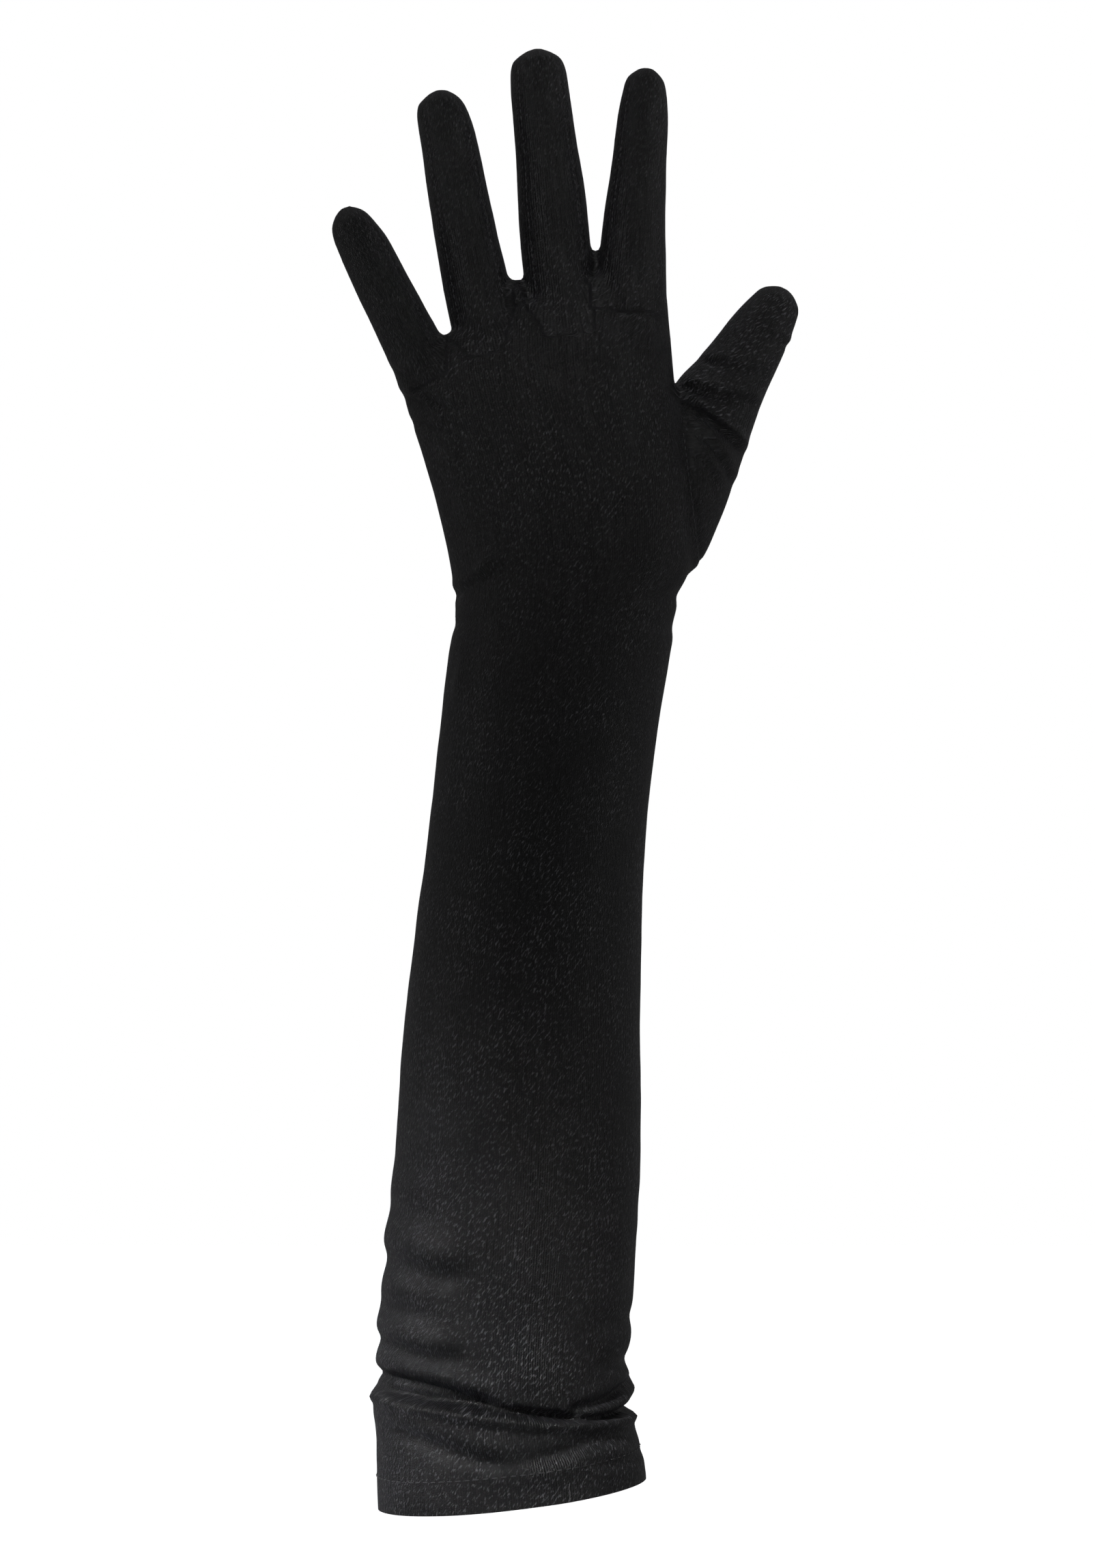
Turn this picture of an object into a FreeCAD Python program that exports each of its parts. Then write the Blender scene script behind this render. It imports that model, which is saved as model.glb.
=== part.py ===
"""Satin opera glove for a left hand, shown in the shape that it has when it is worn.

Row frame, in millimetres: +Z runs up the arm from the opening towards the fingertips, +X points to the
thumb side, and +Y is the palm side. The origin is at the centre of the arm opening.
The cloth is one folded trank (hand and sleeve in one piece), a set-in thumb and three fourchettes, the
strips between the fingers. Each is cut across where the wearer's wrist, knuckles and fingers bend, so that
it can follow the joints. A cut leaves an open notch on the side that the joint closes towards.
"""

import FreeCAD
import Part

import math
import os

V = FreeCAD.Vector

# ---------------------------------------------------------------- driving dimensions
CLOTH = 0.7           # wall of the stretch satin, doubled yarn included
JOINT_GAP = 0.4       # free space left between two bodies at a joint
FAR = 400.0           # reach of the blocks that cut the cloth
ELLIPSE_POINTS = 12   # points that a section's curve passes through
DEPTH_RATIO = 0.88    # a digit's depth over its width
FOURCHETTE_HALF = 42.0  # half angle of a finger's side that the fourchette covers
HEM_DEPTH = 12.0      # height of the turned-up hem
HEM_FOLD = 1.2        # height of the fold itself, where the turn-up has not yet begun
THREAD = 0.5          # thickness of a sewn thread line
STITCH_BELOW = 2.0    # distance of the topstitching from the turn-up's raw edge
STITCH_LENGTH = 2.2
STITCH_PITCH = 4.4
STITCH_SINK = 0.15    # how far a stitch beds into the cloth
SEAM_WIDTH = 3.5      # each turned edge of the side seam
SEAM_PARTING = 0.15   # half the space between the two turned edges
SLEEVE_SEAM = (20.0, 262.0)   # heights that the side seam's turned edges run between
HAND_SEAM = (296.0, 334.0)
ROOF = 2.0            # reach of the finger openings to each side of the finger-root plane
LEAST_SOLID = 2.0     # crumbs of a boolean under this volume are dropped
DOME = [(0.2, 0.38), (1.5, 0.72)]   # a fingertip's first sections: distance back, share of the tip's width

# The trunk from hem to finger roots. Each section runs from its little-finger edge (x, z)
# to its thumb edge (x, z), and has a half depth.
TRUNK = [
    ((-41.5, 0.0), (42.5, 9.5), 37.0),
    ((-42.5, 27.0), (39.5, 30.0), 37.0),
    ((-42.0, 45.0), (37.0, 45.0), 36.5),
    ((-39.6, 80.0), (39.6, 80.0), 36.0),
    ((-35.1, 131.0), (41.3, 131.0), 34.5),
    ((-32.1, 165.0), (41.3, 165.0), 32.0),
    ((-27.6, 200.0), (42.2, 200.0), 29.0),
    ((-23.0, 234.0), (45.2, 234.0), 26.0),
    ((-19.4, 269.0), (50.4, 269.0), 23.0),
    ((-16.8, 286.0), (52.8, 286.0), 21.0),
    ((-19.3, 300.0), (60.0, 301.0), 19.0),
    ((-22.5, 314.0), (59.2, 318.0), 17.0),
    ((-27.0, 330.0), (56.5, 335.0), 15.5),
    ((-33.0, 346.0), (53.0, 354.0), 15.0),
    ((-38.5, 358.0), (50.6, 374.0), 14.3),
    ((-42.0, 363.0), (50.5, 398.0), 13.5),
]

# Each finger: tip, lean from the vertical (positive leans to the thumb side), distances back from the tip
# to its two joints and to its root, and half widths at distances back from the tip.
FINGERS = {
    "little": dict(tip=V(-52.5, 0, 410.0), lean=-26.7, end_joint=20.0, mid_joint=37.0, root=62.0,
                   widths=[(4, 5.8), (8, 7.1), (16, 8.1), (32, 8.5), (48, 9.5), (62, 9.9)]),
    "ring": dict(tip=V(-22.5, 0, 447.0), lean=-10.8, end_joint=23.0, mid_joint=46.0, root=86.0,
                 widths=[(4, 6.8), (8, 8.0), (16, 8.8), (32, 9.4), (52, 10.1), (86, 10.4)]),
    "middle": dict(tip=V(8.1, 0, 460.0), lean=-6.2, end_joint=24.0, mid_joint=48.0, root=92.0,
                   widths=[(4, 7.7), (8, 8.8), (16, 9.3), (32, 9.8), (52, 11.0), (92, 11.4)]),
    "index": dict(tip=V(43.2, 0, 454.1), lean=4.7, end_joint=22.0, mid_joint=43.0, root=78.0,
                  widths=[(4, 5.9), (8, 7.0), (16, 7.9), (32, 8.8), (48, 9.9), (78, 10.8)]),
}
# The sides of each finger that carry a fourchette: -1 is the little-finger side, +1 the thumb side.
FOURCHETTES = {
    "ring_little": (("little", 1), ("ring", -1)),
    "middle_ring": (("ring", 1), ("middle", -1)),
    "index_middle": (("middle", 1), ("index", -1)),
}
THUMB = dict(tip=V(87.6, 13.0, 385.5), lean=31.4, end_joint=26.0, root=80.0,
             widths=[(4, 7.0), (8, 8.2), (16, 9.9), (28, 11.4), (40, 13.0), (58, 16.5), (80, 17.5)])

# Hinges: a point on the axis, the direction away from the arm, and the largest bend each way.
PALM_SIDE = V(0, 1, 0)
WRIST = dict(at=V(17.5, 0, 281.0), up=V(0, 0, 1), flex=55.0, back=45.0)
KNUCKLE_LEFT, KNUCKLE_RIGHT = V(-37.0, 0, 346.0), V(50.0, 0, 374.0)
KNUCKLE_FLEX, KNUCKLE_BACK = 75.0, 15.0
MID_FLEX, END_FLEX = 85.0, 50.0
THUMB_END_FLEX = 45.0
THUMB_SWING_AT = V(50.0, 6.0, 330.0)
THUMB_SWING_AXIS = V(-0.14, 0, 0.99)
THUMB_CUT_RADIUS = 17.0
THUMB_CUT_ANGLE = 100.0   # the swinging part keeps this side of the palm


# ---------------------------------------------------------------- building blocks
def unit(v):
    return V(v).normalize()


def ellipse(centre, half_width, half_depth):
    """Closed smooth wire of an ellipse whose two half axes are the vectors given."""
    turns = [2 * math.pi * n / ELLIPSE_POINTS for n in range(ELLIPSE_POINTS)]
    curve = Part.BSplineCurve()
    curve.interpolate(Points=[centre + half_width * math.cos(t) + half_depth * math.sin(t) for t in turns],
                      PeriodicFlag=True)
    return Part.Wire([curve.toShape()])


def loft(sections, straight=False):
    return Part.makeLoft(sections, True, straight)


def prism(at, across, along, up, outline):
    """Solid with an outline of (along, up) points, run FAR to both sides across."""
    points = [at + along * a + up * u - across * FAR for a, u in outline]
    face = Part.Face(Part.makePolygon(points + points[:1]))
    return face.extrude(across * (2 * FAR))


class Hinge:
    """A bend of the cloth: blocks that keep what lies below or above it."""

    def __init__(self, at, up, flex, back, palm=PALM_SIDE):
        self.at, self.up, self.palm = at, unit(up), unit(palm)
        self.across = unit(self.palm.cross(self.up))
        self.front = math.tan(math.radians(flex / 2 + 1.0))
        self.rear = math.tan(math.radians(back / 2 + 0.5)) if back else 0.0

    def keep(self, side):
        """Block below the bend for side -1, above it for side +1."""
        gap = side * JOINT_GAP / 2
        outline = [
            (0, gap),
            (FAR, gap + side * FAR * self.front),
            (FAR, side * FAR * 9), (-FAR, side * FAR * 9),
            (-FAR, gap + side * FAR * self.rear),
        ]
        return prism(self.at, self.across, self.palm, self.up, outline)


def solids_of(shape):
    """The closed solids of a boolean's result, without its crumbs."""
    return [s for s in shape.Solids if s.Volume > LEAST_SOLID]


def joined(shapes):
    found = [s for shape in shapes for s in solids_of(shape)]
    return found[0] if len(found) == 1 else Part.makeCompound(found)


def export(name, shape):
    shape.exportStep(os.path.join("parts", name + ".step"))


# ---------------------------------------------------------------- trunk: sleeve and hand
def trunk_solid(inset):
    """The trunk's closed form, taken in by `inset` all round and open past the hem."""
    wires = []
    for n, (left, right, depth) in enumerate(TRUNK):
        a, b = V(left[0], 0, left[1]), V(right[0], 0, right[1])
        centre, half = (a + b) * 0.5, (b - a) * 0.5
        half = unit(half) * (half.Length - inset)
        normal = unit(PALM_SIDE.cross(half))
        if n == 0:
            centre = centre + normal * inset * 4
        if n == len(TRUNK) - 1:
            centre = centre + normal * inset
        wires.append(ellipse(centre, half, PALM_SIDE * (depth - inset)))
    return loft(wires, True)


def section_plane(section):
    """Centre, direction to the thumb side and direction to the fingers of one of the trunk's sections."""
    left, right, _ = section
    a, b = V(left[0], 0, left[1]), V(right[0], 0, right[1])
    across = unit(b - a)
    return (a + b) * 0.5, across, unit(V(-across.z, 0, across.x))


# ---------------------------------------------------------------- digits
class Digit:
    """A finger or the thumb: a tapered tube of elliptical section with a domed tip."""

    def __init__(self, data, palm=PALM_SIDE):
        lean = math.radians(data["lean"])
        self.data, self.tip = data, data["tip"]
        self.up = V(math.sin(lean), 0, math.cos(lean))
        self.side = V(math.cos(lean), 0, -math.sin(lean))
        self.palm = palm

    def at(self, back):
        return self.tip - self.up * back

    def solid(self, inset):
        widths = self.data["widths"]
        tip_width = widths[0][1]
        stations = [(back, tip_width * share) for back, share in DOME] + widths
        wires = []
        for back, width in stations:
            centre = self.at(back + (inset if back < 10 else 0))
            wires.append(ellipse(centre, self.side * (width - inset), PALM_SIDE * (width * DEPTH_RATIO - inset)))
        return loft(wires, True)

    def side_block(self, sign):
        """Wedge along the digit that holds the strip a fourchette covers on one side."""
        outwards = self.side * (sign * FAR)
        spread = PALM_SIDE * (FAR * math.tan(math.radians(FOURCHETTE_HALF)))
        corners = [V(0, 0, 0), outwards + spread, outwards - spread]
        low = self.at(self.data["root"] + 20)
        face = Part.Face(Part.makePolygon([low + c for c in corners + corners[:1]]))
        return face.extrude(self.up * (self.data["root"] + 40))


def split_sides(shell, digit, signs):
    """The tube's trank part, and the strips that its fourchettes cover, by side."""
    strips, rest = {}, shell
    for sign in signs:
        block = digit.side_block(sign)
        strips[sign] = shell.common(block)
        rest = rest.cut(block)
    return rest, strips


# ---------------------------------------------------------------- sewing
def hem_turnup():
    """The cloth folded inside at the opening: a short tube that lies against the sleeve's inside."""
    outer = trunk_solid(CLOTH).cut(trunk_solid(2 * CLOTH))
    return outer.common(below_hem(HEM_DEPTH)).cut(below_hem(HEM_FOLD))


def below_hem(height):
    """Block that holds everything under a plane parallel to the hem, at a height above it."""
    centre, across, up = section_plane(TRUNK[0])
    return prism(centre + up * height, PALM_SIDE, across, up, [(-FAR, 0), (FAR, 0), (FAR, -FAR), (-FAR, -FAR)])


def stitch_ring():
    """The hem's topstitching: short stitches along the outside of the sleeve, in line with the hem."""
    centre, _, up = section_plane(TRUNK[0])
    plane_at = centre + up * (HEM_DEPTH - STITCH_BELOW)
    cut = trunk_solid(0.0).slice(up, plane_at.dot(up))[0]
    count = int(cut.Length / STITCH_PITCH)
    points = cut.discretize(Number=2 * count + 1)
    stitches = []
    for n in range(count):
        p, q = points[2 * n], points[2 * n + 1]
        mid, along = (p + q) * 0.5, unit(q - p)
        out = unit(mid - plane_at)
        start = mid - along * (STITCH_LENGTH / 2) + out * (THREAD / 2 - STITCH_SINK)
        stitches.append(Part.makeCylinder(THREAD / 2, STITCH_LENGTH, start, along))
    return Part.makeCompound(stitches)


def seam_strip(low, high):
    """The two seam allowances of the little-finger side seam, lying inside the trunk."""
    ring = trunk_solid(CLOTH).cut(trunk_solid(2 * CLOTH))
    bands = [Part.makeBox(FAR, SEAM_WIDTH, high - low, V(-FAR, y, low))
             for y in (SEAM_PARTING, -SEAM_PARTING - SEAM_WIDTH)]
    return ring.common(bands[0].fuse(bands[1]))


# ---------------------------------------------------------------- assembly
def main():
    os.makedirs("parts", exist_ok=True)
    nodes = {}

    outer, inner = trunk_solid(0.0), trunk_solid(CLOTH)
    shell = outer.cut(inner)
    wrist = Hinge(WRIST["at"], WRIST["up"], WRIST["flex"], WRIST["back"])
    row = KNUCKLE_RIGHT - KNUCKLE_LEFT
    knuckles = Hinge((KNUCKLE_LEFT + KNUCKLE_RIGHT) * 0.5, V(-row.z, 0, row.x), KNUCKLE_FLEX, KNUCKLE_BACK)

    # Sleeve body.
    nodes["sleeve_trank"] = shell.common(wrist.keep(-1))
    nodes["hem_turnup"] = hem_turnup()
    nodes["hem_stitching"] = stitch_ring()
    nodes["sleeve_seam_allowance"] = seam_strip(*SLEEVE_SEAM)

    # Thumb, set into the thumb side of the hand.
    thumb = Digit(THUMB)
    thumb_outer, thumb_inner = thumb.solid(0.0), thumb.solid(CLOTH)
    thumb_shell = thumb_outer.cut(thumb_inner).cut(outer)
    swing = unit(THUMB_SWING_AXIS)
    foot = THUMB_SWING_AT - swing * FAR
    drum = Part.makeCylinder(THUMB_CUT_RADIUS, 2 * FAR, foot, swing)
    wide_drum = Part.makeCylinder(THUMB_CUT_RADIUS + JOINT_GAP, 2 * FAR, foot, swing)
    radial = unit(V(1, 0, 0) - swing * swing.x)
    inward = unit(swing.cross(radial))
    turn = math.radians(THUMB_CUT_ANGLE)
    face_dir = radial * math.cos(turn) + inward * math.sin(turn)
    back_dir = radial * math.sin(turn) - inward * math.cos(turn)
    near = prism(THUMB_SWING_AT, swing, face_dir, back_dir, [(-FAR, 0), (FAR, 0), (FAR, FAR), (-FAR, FAR)])
    tip_bend = Hinge(thumb.at(THUMB["end_joint"]), thumb.up, THUMB_END_FLEX, 0.0, thumb_palm(thumb))
    moving = thumb_shell.cut(wide_drum).common(near)
    nodes["thumb_gusset"] = thumb_shell.common(drum).common(wrist.keep(1)).common(knuckles.keep(-1))
    nodes["thumb_base"] = moving.common(tip_bend.keep(-1))
    nodes["thumb_tip"] = moving.common(tip_bend.keep(1))

    # Hand body: the trunk between wrist and knuckles, with the hole that the thumb is set into.
    hand = shell.common(wrist.keep(1)).cut(thumb_inner)
    nodes["hand_trank"] = hand.common(knuckles.keep(-1))
    nodes["hand_seam_allowance"] = seam_strip(*HAND_SEAM)

    # Knuckle body: the rest of the trunk, the finger roots, and the fourchettes up to the middle joints.
    centre, across, up = section_plane(TRUNK[-1])
    above_cap = prism(centre, PALM_SIDE, across, up, [(-FAR, 0), (FAR, 0), (FAR, FAR), (-FAR, FAR)])
    top = shell.common(wrist.keep(1)).cut(thumb_inner).common(knuckles.keep(1))
    left, right, depth = TRUNK[-1]
    half_width = (V(right[0], 0, right[1]) - V(left[0], 0, left[1])).Length / 2 - CLOTH
    roof = Part.Face(ellipse(centre - up * ROOF, across * half_width, PALM_SIDE * (depth - CLOTH)))
    roof = roof.extrude(up * (2 * ROOF))
    sides = {name: [] for name in FINGERS}
    for (a, a_sign), (b, b_sign) in FOURCHETTES.values():
        sides[a].append(a_sign)
        sides[b].append(b_sign)
    strips, tubes, digits = {}, {}, {}
    for name, data in FINGERS.items():
        digit = digits[name] = Digit(data)
        tube_outer, tube_inner = digit.solid(0.0), digit.solid(CLOTH)
        tube = tube_outer.cut(tube_inner)
        tubes[name] = (tube_outer, tube_inner)
        middle = Hinge(digit.at(data["mid_joint"]), digit.up, MID_FLEX, 0.0)
        end = Hinge(digit.at(data["end_joint"]), digit.up, END_FLEX, 0.0)
        top = top.cut(tube_inner.common(roof))
        zones = {
            "base": tube.common(middle.keep(-1)).common(above_cap),
            "mid": tube.common(middle.keep(1)).common(end.keep(-1)),
            "tip": tube.common(end.keep(1)),
        }
        for zone, zone_shell in zones.items():
            trank, cut_strips = split_sides(zone_shell, digit, sides[name])
            nodes[f"{name}_{zone}_trank"] = trank
            if zone == "base":
                strips[name] = cut_strips
            else:
                nodes[f"{name}_{zone}_fourchette"] = joined(cut_strips.values())

    slab = prism(centre, PALM_SIDE, across, up, [(-FAR, 0.01), (FAR, 0.01), (FAR, -CLOTH), (-FAR, -CLOTH)])
    for name, ((a, a_sign), (b, b_sign)) in FOURCHETTES.items():
        web = web_between(digits[a], digits[b], centre, across, up).common(slab).common(top)
        for finger in (a, b):
            web = web.cut(tubes[finger][0])
        top = top.cut(web)
        nodes[f"{name}_fourchette"] = joined([strips[a][a_sign], web, strips[b][b_sign]])
    nodes["knuckle_trank"] = top

    for name, shape in nodes.items():
        export(name, joined([shape]) if name != "hem_stitching" else shape)
        found = shape.Solids
        print(f"{name:28s} solids {len(found)}  volume {sum(s.Volume for s in found):9.1f}  "
              f"valid {all(s.isValid() for s in found)}")


def thumb_palm(thumb):
    """The way the thumb's tip bends: across the palm, square to the thumb."""
    towards = V(-0.45, 0.89, 0)
    return unit(towards - thumb.up * towards.dot(thumb.up))


def web_between(left, right, centre, across, up):
    """Block over the finger-root plane between the axes of two neighbouring fingers."""
    marks = []
    for digit in (left, right):
        reach = (centre - digit.tip).dot(up) / digit.up.dot(up)
        marks.append((digit.tip + digit.up * reach - centre).dot(across))
    return prism(centre, PALM_SIDE, across, up,
                 [(marks[0], ROOF), (marks[1], ROOF), (marks[1], -ROOF), (marks[0], -ROOF)])


main()
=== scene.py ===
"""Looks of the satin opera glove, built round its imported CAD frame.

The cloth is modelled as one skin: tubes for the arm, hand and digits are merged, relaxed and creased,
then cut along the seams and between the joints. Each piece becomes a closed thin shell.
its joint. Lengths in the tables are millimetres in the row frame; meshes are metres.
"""

import math

import bmesh
import bpy
import numpy as np
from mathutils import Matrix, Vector, noise
from mathutils.bvhtree import BVHTree


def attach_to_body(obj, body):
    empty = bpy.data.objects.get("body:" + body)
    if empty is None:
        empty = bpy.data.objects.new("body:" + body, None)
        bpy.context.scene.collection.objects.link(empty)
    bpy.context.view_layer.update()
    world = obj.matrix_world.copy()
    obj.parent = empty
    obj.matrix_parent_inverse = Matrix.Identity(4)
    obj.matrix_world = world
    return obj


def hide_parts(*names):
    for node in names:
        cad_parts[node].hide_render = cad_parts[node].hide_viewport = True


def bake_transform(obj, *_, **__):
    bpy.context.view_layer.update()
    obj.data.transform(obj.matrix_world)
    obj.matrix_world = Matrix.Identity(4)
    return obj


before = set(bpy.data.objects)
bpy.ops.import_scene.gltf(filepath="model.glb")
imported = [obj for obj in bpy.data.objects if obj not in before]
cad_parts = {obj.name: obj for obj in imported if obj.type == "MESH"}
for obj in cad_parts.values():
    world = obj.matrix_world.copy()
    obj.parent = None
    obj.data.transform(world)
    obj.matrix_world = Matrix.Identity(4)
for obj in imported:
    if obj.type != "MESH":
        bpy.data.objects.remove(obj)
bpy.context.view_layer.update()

MM = 0.001
VOXEL = 1.1
CLOTH = 0.55              # thickness of the satin
FOURCHETTE_ANGLE = 42.0   # half angle of a finger's side that the fourchette covers

# ---------------- measurements of the glove
# Little-finger edge (x, z), thumb edge (x, z), half depth, and how square the section is.
TRUNK = [
    ((-41, -12), (43.5, -6), 36.5, 2),
    ((-41.6, 6), (43, 10.5), 37, 2),
    ((-41.9, 17), (41.3, 19), 36.8, 2),
    ((-42.9, 30), (39.3, 28), 36.4, 2),
    ((-42.6, 37), (37.7, 36), 36, 2),
    ((-42, 45), (36.8, 44.5), 36.2, 2),
    ((-41.5, 60), (38.1, 60), 36.2, 2),
    ((-39.6, 79), (39.6, 79), 36, 2),
    ((-36.2, 114), (41.3, 114), 35.2, 2),
    ((-33.8, 148), (41.1, 148), 33.4, 2),
    ((-29.7, 183), (41.6, 183), 30.4, 2),
    ((-25.2, 217), (43.3, 217), 27.4, 2),
    ((-21.5, 251.5), (47.6, 251.5), 24.4, 2.1),
    ((-19.3, 269), (50.5, 269), 22.8, 2.1),
    ((-16.9, 285), (52.3, 285), 21, 2.2),
    ((-19.3, 300), (58, 301), 19, 2.3),
    ((-22.5, 314), (58.2, 318), 17, 2.4),
    ((-27, 330), (55.8, 335), 15.8, 2.5),
    ((-32.2, 346), (52, 354), 15, 2.5),
    ((-35, 355), (50.4, 371), 13.8, 2.4),
    ((-34.5, 361), (49, 385), 11.8, 2.3),
    ((-30, 366), (45, 394), 8.6, 2.2),
]

# Tip (x, y, z), lean to the thumb side in degrees, joints as distances back from the tip,
# and (distance back, width to the little-finger side, width to the thumb side).
DIGITS = {
    "little": dict(tip=(-52.5, 0, 410), lean=-26.7, end=20, mid=37, root=62, widths=[
        (1.2, 3.2, 3), (4, 6.1, 5.5), (8, 7.4, 6.8), (16, 8.1, 8.2), (28, 8.6, 8.4), (40, 8.8, 8.8),
        (50, 9.2, 9.4), (62, 10, 9.6), (76, 11, 9), (92, 12, 8)]),
    "ring": dict(tip=(-22.5, 0, 447), lean=-10.8, end=23, mid=46, root=86, widths=[
        (1.2, 4, 3.4), (4, 7.4, 6.2), (8, 8.4, 7.7), (16, 8.8, 8.9), (32, 9.5, 9.3), (48, 10.1, 9.7),
        (62, 10.3, 10.4), (78, 10.2, 10.2), (100, 10, 10)]),
    "middle": dict(tip=(8.1, 0, 460), lean=-6.2, end=24, mid=48, root=92, widths=[
        (1.2, 4.2, 4), (4, 7.9, 7.6), (8, 8.9, 8.7), (16, 9.4, 9.1), (32, 9.8, 9.8), (48, 10.9, 10.7),
        (64, 11.6, 10.6), (80, 11.4, 10.8), (105, 11, 11)]),
    "index": dict(tip=(43.2, 0, 454.1), lean=4.7, end=22, mid=43, root=78, widths=[
        (1.2, 3.3, 3.1), (4, 6.1, 5.7), (8, 7, 6.9), (16, 7.9, 8), (32, 8.7, 8.8), (48, 9.8, 9.8),
        (62, 10.3, 11.2), (80, 11, 12.9), (100, 11, 14.4)]),
    "thumb": dict(tip=(87.6, 13, 385.5), lean=31.4, end=26, mid=62, root=80, widths=[
        (1.2, 3.9, 4), (4, 6.9, 7.1), (8, 8.1, 8.3), (16, 9.9, 9.9), (26, 11.1, 11.2), (34, 12.2, 12.2),
        (42, 14, 13.8), (50, 14.5, 15.6), (62, 14.5, 18), (74, 14, 20.4), (88, 13, 22),
        (100, 12, 19)]),
}
FINGERS = ("little", "ring", "middle", "index")
WEB = ((1.2, 0.0, 380.8), 6.0, 9.0)     # space between ring and middle finger: centre, radius, half depth
DEPTH_RATIO = 0.9                       # depth of a digit over its width
THUMB_DEPTH = 13.5                      # greatest half depth of the thumb
BEND_REACH = {"mid": 9.5, "tip": 6.5}   # half the length of cloth about a joint, which sets where the pieces are cut

KNUCKLE_AT = (6.5, 0.0, 360.0)
KNUCKLE_ROW = np.array((87.0, 0.0, 28.0)) / math.hypot(87.0, 28.0)
KNUCKLE_UP = np.array((-KNUCKLE_ROW[2], 0.0, KNUCKLE_ROW[0]))
HAND_SPLIT = 18.0         # how far below the knuckle row the hand's cloth is divided
THUMB_SEAM_AT = (55.5, 0.0, 337.6)
THUMB_SEAM_OUT = np.array((0.993, 0.0, 0.12))
HEM_AT = (0.0, 0.0, 4.6)
HEM_UP = np.array((-0.112, 0.0, 0.9937))
HEM_DEPTH = 12.0

# Where the cuts reach, so that a cutting plane leaves the rest of the glove whole.
KNUCKLE_CUT_HEIGHTS = (300.0, 380.0)
THUMB_CUT_HEIGHTS = (285.0, 362.0)
THUMB_TOP = 362.0         # above this height the thumb's cloth lies past THUMB_CLEAR
THUMB_CLEAR = 56.0
INDEX_EDGE = 52.5         # furthest that the index finger's base reaches to the thumb side

# Ribs of the knit round the arm and round a digit, and the lengths that the cloth's pattern is told from.
ARM_WALES = 330.0
DIGIT_WALES = 84.0
# With these lengths the fingers take the hand's faint painted glints, and the thumb nearly the sleeve's
# bright ones.
FINGER_ALONG = 460.0
THUMB_ALONG = 200.0
THUMB_PATTERN_REACH = 50.0

PALM = np.array((0.0, 1.0, 0.0))


# ---------------- small helpers
def smoothstep(x, low, high):
    t = np.clip((x - low) / (high - low), 0.0, 1.0)
    return t * t * (3 - 2 * t)


def spline(xs, ys, at):
    """Smooth monotone interpolation through the points, held level past the ends."""
    xs, ys = np.asarray(xs, float), np.asarray(ys, float)
    step = np.diff(ys, axis=0) / (np.diff(xs)[:, None] if ys.ndim > 1 else np.diff(xs))
    slope = np.zeros_like(ys)
    product, total = step[1:] * step[:-1], step[1:] + step[:-1] + 1e-12
    slope[1:-1] = np.where(product > 0, 2 * product / total, 0)
    slope[0], slope[-1] = step[0], step[-1]
    at = np.clip(np.asarray(at, float), xs[0], xs[-1])
    i = np.clip(np.searchsorted(xs, at) - 1, 0, len(xs) - 2)
    h = xs[i + 1] - xs[i]
    t = (at - xs[i]) / h
    if ys.ndim > 1:
        h, t = h[:, None], t[:, None]
    return ((2 * t ** 3 - 3 * t ** 2 + 1) * ys[i] + (t ** 3 - 2 * t ** 2 + t) * h * slope[i]
            + (-2 * t ** 3 + 3 * t ** 2) * ys[i + 1] + (t ** 3 - t ** 2) * h * slope[i + 1])


class Digit:
    """The axis and widths of a finger or the thumb."""

    def __init__(self, name):
        data = DIGITS[name]
        lean = math.radians(data["lean"])
        self.name = name
        self.tip = np.array(data["tip"])
        self.up = np.array((math.sin(lean), 0.0, math.cos(lean)))
        self.side = np.array((math.cos(lean), 0.0, -math.sin(lean)))
        if name == "thumb":   # the thumb also leans towards the palm
            self.up = np.array((math.sin(lean) * 0.995, 0.10, math.cos(lean) * 0.995))
            self.up /= np.linalg.norm(self.up)
        self.palm = np.cross(self.up, self.side)
        self.end, self.mid, self.root = data["end"], data["mid"], data["root"]
        self.widths = np.array(data["widths"])

    def at(self, back):
        return self.tip - self.up * back

    def local(self, points):
        """Distance back from the tip, and offsets to the thumb side and to the palm, of points."""
        d = points - self.tip
        return -(d @ self.up), d @ self.side, d @ self.palm

    def half_width(self, back):
        w = spline(self.widths[:, 0], self.widths[:, 1:], np.atleast_1d(back))
        return w.mean(axis=1)


digits = {name: Digit(name) for name in DIGITS}


# ---------------- the skin's form
def tube(rings):
    """Closed tube through rings of points, with a fan at each end. Returns points and faces."""
    count = len(rings[0])
    points = [p for ring in rings for p in ring]
    faces = []
    for r in range(len(rings) - 1):
        for i in range(count):
            j = (i + 1) % count
            a, b = r * count, (r + 1) * count
            faces.append((a + i, a + j, b + j, b + i))
    for r in (0, len(rings) - 1):
        centre = len(points)
        points.append(np.mean(rings[r], axis=0))
        for i in range(count):
            pair = (r * count + i, r * count + (i + 1) % count)
            faces.append((centre,) + (pair[::-1] if r == 0 else pair))
    return points, faces


def section(centre, side, palm, half, depth, squareness, count=72):
    """Ring of points on a superellipse: squareness 2 is an ellipse, and more is squarer."""
    power = 2.0 / squareness
    ring = []
    for n in range(count):
        t = 2 * math.pi * n / count
        c, s = math.cos(t), math.sin(t)
        ring.append(centre + side * half * math.copysign(abs(c) ** power, c)
                    + palm * depth * math.copysign(abs(s) ** power, s))
    return ring


def trunk_sections(steps=150):
    """Both edges, half depth and squareness of the trunk, at even steps from the hem up."""
    left = np.array([s[0] for s in TRUNK])
    right = np.array([s[1] for s in TRUNK])
    rest = np.array([s[2:] for s in TRUNK])
    mean = (left[:, 1] + right[:, 1]) / 2
    at = np.linspace(mean[0], mean[-1], steps)
    return spline(mean, left, at), spline(mean, right, at), spline(mean, rest, at)


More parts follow.
